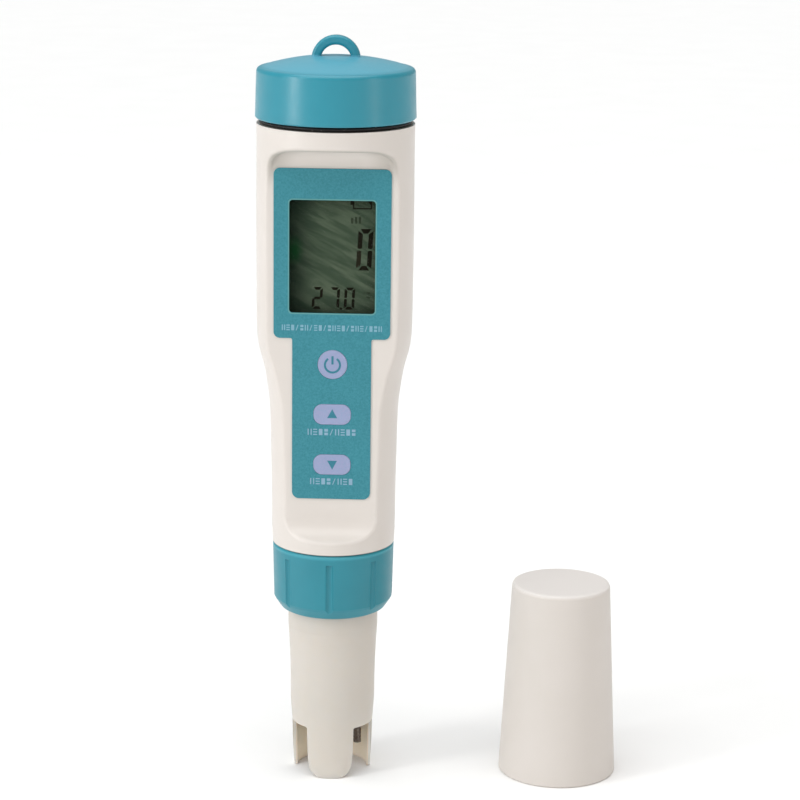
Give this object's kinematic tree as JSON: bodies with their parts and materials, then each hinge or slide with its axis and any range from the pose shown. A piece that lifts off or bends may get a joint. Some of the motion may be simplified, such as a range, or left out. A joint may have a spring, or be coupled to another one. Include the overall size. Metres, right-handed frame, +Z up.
{
  "type": "ph test pen",
  "caption": "Hand-held water test pen: round screw-on battery cap with eye, flat keyed face with display, ring nut, plug-in probe with open prongs, and loose tapered probe cover.",
  "frame": {"origin": "on the pen's own axis, in the plane that the probe's prongs stand on", "axes": "+Z up along the pen's axis towards the battery cap, -Y out of the face with the display and keys, +X towards the loose probe cover that stands beside the pen"},
  "size_m": [0.0889, 0.0378, 0.1805],
  "materials": {
    "teal_plastic": "satin moulded plastic with a fine matt skin",
    "teal_nut": "satin moulded plastic",
    "white_plastic": "smooth warm white moulded plastic, low gloss",
    "probe_plastic": "smooth off-white moulded plastic",
    "cover_plastic": "smooth off-white moulded plastic, very fine texture",
    "label_film": "fine-grained printed polyester film",
    "key_film": "fine-grained pale lavender print",
    "clear_lens": "clear acrylic window",
    "display_glass": "dark grey-green liquid crystal cell",
    "frame_plastic": "plain moulding",
    "light_guide": "milky light guide",
    "elastomer": "striped connector rubber",
    "board_laminate": "green solder mask on glass laminate",
    "steel": "zinc-plated steel",
    "chip_black": "moulded epoxy",
    "component_mix": "ceramic and epoxy parts",
    "switch_plastic": "switch housing",
    "plunger_plastic": "switch plunger",
    "black_rubber": "black nitrile",
    "clear_silicone": "translucent silicone",
    "nickel_plate": "nickel-plated strip",
    "cell_steel": "nickel-plated cell can",
    "potting": "dark potting resin",
    "ph_glass": "thin clear glass membrane",
    "silver": "silver wire with chloride tip",
    "ceramic_wick": "porous white junction",
    "platinum": "platinum-faced pin",
    "electrode_dark": "dark ribbed metal",
    "gold": "gold-plated pins"
  },
  "bodies": {
    "pen_body": {"case": "white_plastic", "front_label": "label_film", "display_window": "clear_lens", "lcd_panel": "display_glass", "display_frame": "frame_plastic", "backlight_panel": "light_guide", "zebra_connectors": "elastomer", "circuit_board": "board_laminate", "board_screws": "steel", "microcontroller": "chip_black", "small_components": "component_mix", "key_switches": "switch_plastic", "probe_socket": "switch_plastic", "battery_holder": "frame_plastic", "button_cells": "cell_steel", "battery_spring": "nickel_plate", "battery_side_contact": "nickel_plate"},
    "cap_gasket": {"battery_cap_o_ring": "black_rubber"},
    "battery_cap": {"battery_cap": "teal_plastic", "battery_contact_plate": "nickel_plate"},
    "probe_module": {"probe_housing": "probe_plastic", "probe_o_ring": "black_rubber", "sensor_holder": "potting", "ph_glass_bulb": "ph_glass", "ph_silver_wire": "silver", "reference_junction": "ceramic_wick", "orp_electrode": "platinum", "ec_electrodes": "electrode_dark", "temperature_sensor": "steel", "probe_plug": "switch_plastic", "probe_pins": "gold"},
    "ring_nut": {"ring_nut": "teal_nut"},
    "power_button": {"power_key": "key_film", "power_plunger": "plunger_plastic"},
    "up_button": {"up_key": "key_film", "up_plunger": "plunger_plastic"},
    "down_button": {"down_key": "key_film", "down_plunger": "plunger_plastic"},
    "protective_cap": {"protective_cap": "cover_plastic", "cap_seal": "clear_silicone"}
  },
  "joints": [
    {"name": "battery_cap_lift", "type": "slide", "parent": "pen_body", "child": "cap_gasket", "axis": [0, 0, 1], "range_m": [0, 0.0045]},
    {"name": "battery_cap_turn", "type": "hinge", "parent": "cap_gasket", "child": "battery_cap", "pos_m": [0, 0, 0.165], "axis": [0, 0, 1], "range_deg": [0, 540]},
    {"name": "probe_withdraw", "type": "slide", "parent": "pen_body", "child": "probe_module", "axis": [0, 0, -1], "range_m": [0, 0.0075]},
    {"name": "ring_nut_turn", "type": "hinge", "parent": "probe_module", "child": "ring_nut", "pos_m": [0, 0, 0.05], "axis": [0, 0, -1], "range_deg": [0, 1080]},
    {"name": "power_key_press", "type": "slide", "parent": "pen_body", "child": "power_button", "axis": [0, 1, 0], "range_m": [0, 0.0003], "stiffness_N_per_m": 500},
    {"name": "up_key_press", "type": "slide", "parent": "pen_body", "child": "up_button", "axis": [0, 1, 0], "range_m": [0, 0.0003], "stiffness_N_per_m": 500},
    {"name": "down_key_press", "type": "slide", "parent": "pen_body", "child": "down_button", "axis": [0, 1, 0], "range_m": [0, 0.0003], "stiffness_N_per_m": 500},
    {"name": "protective_cap_lift", "type": "slide", "parent": "pen_body", "child": "protective_cap", "axis": [0, 0, 1], "range_m": [0, 0.08]}
  ],
  "couplings": [
    {"joint": "battery_cap_lift", "follows": "battery_cap_turn", "m_per_rad": 0.00047746},
    {"joint": "probe_withdraw", "follows": "ring_nut_turn", "m_per_rad": 0.00039789}
  ]
}
